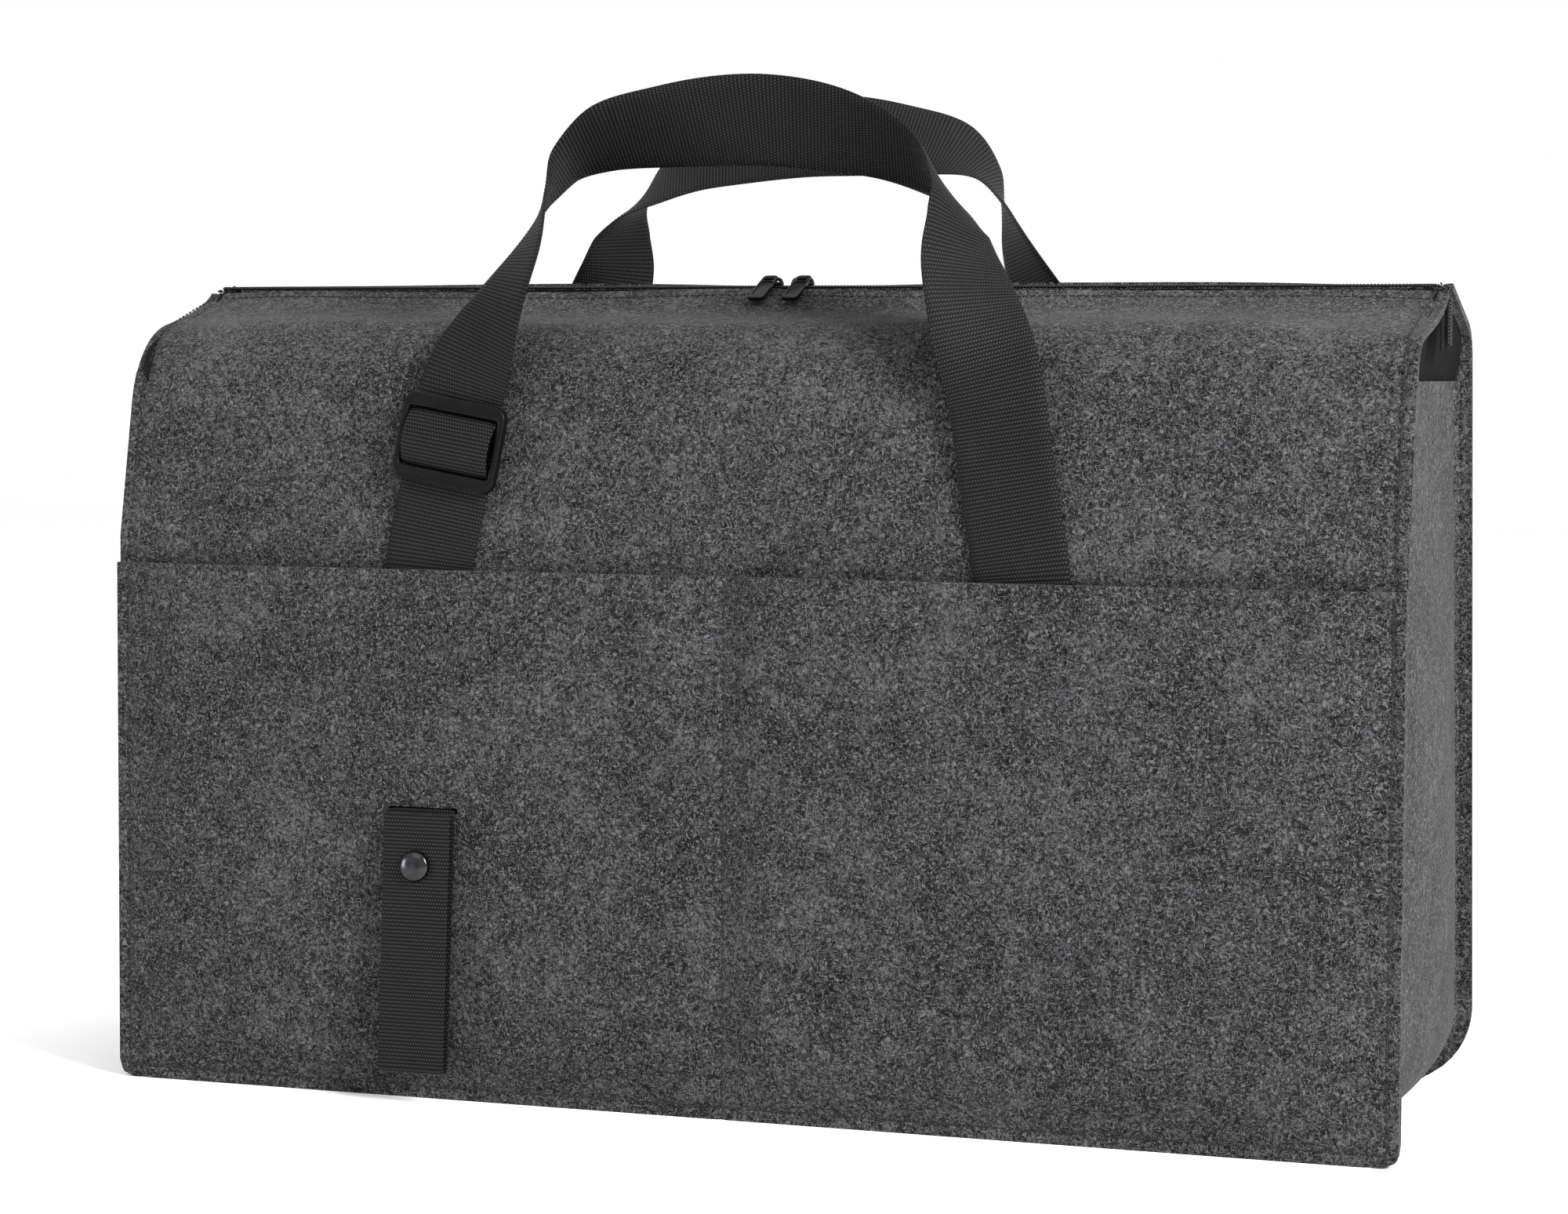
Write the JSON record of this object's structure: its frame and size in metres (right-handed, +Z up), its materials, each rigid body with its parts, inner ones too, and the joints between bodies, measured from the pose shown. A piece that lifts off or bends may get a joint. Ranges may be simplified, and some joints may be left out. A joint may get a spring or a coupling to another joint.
{
  "type": "felt carry bag",
  "caption": "Wide felt carry bag with webbing handles, a top zip with head to head sliders, a divided front pocket and a snap-fastened webbing loop.",
  "frame": {"origin": "centre of the base between the front and back faces, on the plane that the bag stands on", "axes": "+X to the bag's left seen from behind its front face, which is to the right of a person who looks at the front; -Y out of the front; +Z up"},
  "size_m": [0.5584, 0.2069, 0.4323],
  "materials": {
    "felt": "mottled charcoal needle felt, matt",
    "webbing": "black ribbed webbing",
    "woven_black": "black plain weave",
    "thread": "black sewing thread",
    "moulded_plastic": "black moulded, satin",
    "zip_coil": "black nylon coil",
    "zip_metal": "black gloss paint",
    "snap_metal": "dark nickel plate, polished"
  },
  "bodies": {
    "root": {"front_panel": "felt", "back_panel": "felt", "gusset": "felt", "front_pocket": "felt", "end_panel_left": "woven_black", "end_panel_right": "woven_black", "zip_tape_front": "woven_black", "zip_tape_back": "woven_black", "zip_chain_front": "zip_coil", "zip_chain_back": "zip_coil", "zip_stops": "zip_metal", "handle_root_front_left": "webbing", "handle_root_front_right": "webbing", "handle_root_back_left": "webbing", "handle_root_back_right": "webbing", "loop_root": "webbing", "slit_tacks": "thread"},
    "handle_front": {"handle_front": "webbing"},
    "handle_back": {"handle_back": "webbing"},
    "adjuster_front": {"tri_glide_front": "moulded_plastic", "adjuster_wrap_front": "webbing"},
    "adjuster_back": {"tri_glide_back": "moulded_plastic", "adjuster_wrap_back": "webbing"},
    "slider_left": {"slider_left": "zip_metal"},
    "slider_right": {"slider_right": "zip_metal"},
    "pull_left": {"pull_left": "zip_metal"},
    "pull_right": {"pull_right": "zip_metal"},
    "loop_back": {"loop_back_leaf": "webbing", "snap_stud": "snap_metal", "snap_post": "snap_metal"},
    "loop_front": {"loop_front_leaf": "webbing", "snap_cap": "snap_metal", "snap_socket": "snap_metal"}
  },
  "joints": [
    {"name": "handle_front_fold", "type": "hinge", "parent": "root", "child": "handle_front", "pos_m": [0, -0.0971, 0.225], "axis": [1, 0, 0], "range_deg": [0, 130]},
    {"name": "handle_back_fold", "type": "hinge", "parent": "root", "child": "handle_back", "pos_m": [0, 0.0755, 0.225], "axis": [1, 0, 0], "range_deg": [-130, 0]},
    {"name": "adjuster_front_slide", "type": "slide", "parent": "handle_front", "child": "adjuster_front", "axis": [0.1732, 0.0685, 0.9825], "range_m": [-0.018, 0]},
    {"name": "adjuster_back_slide", "type": "slide", "parent": "handle_back", "child": "adjuster_back", "axis": [-0.1733, -0.0628, 0.9829], "range_m": [-0.018, 0]},
    {"name": "slider_left_travel", "type": "slide", "parent": "root", "child": "slider_left", "axis": [1, 0, 0], "range_m": [-0.247, 0]},
    {"name": "slider_right_travel", "type": "slide", "parent": "root", "child": "slider_right", "axis": [1, 0, 0], "range_m": [0, 0.258]},
    {"name": "pull_left_swing", "type": "hinge", "parent": "slider_left", "child": "pull_left", "pos_m": [-0.0131, 0, 0.3476], "axis": [1, 0, 0], "range_deg": [-150, 0]},
    {"name": "pull_right_swing", "type": "hinge", "parent": "slider_right", "child": "pull_right", "pos_m": [0.0021, 0, 0.3476], "axis": [1, 0, 0], "range_deg": [-150, 0]},
    {"name": "loop_swing", "type": "hinge", "parent": "root", "child": "loop_back", "pos_m": [-0.132, -0.1003, 0.123], "axis": [1, 0, 0], "range_deg": [-90, 0]},
    {"name": "loop_open", "type": "hinge", "parent": "loop_back", "child": "loop_front", "pos_m": [-0.132, -0.11215, 0.01657], "axis": [1, 0, 0], "range_deg": [0, 90]}
  ]
}
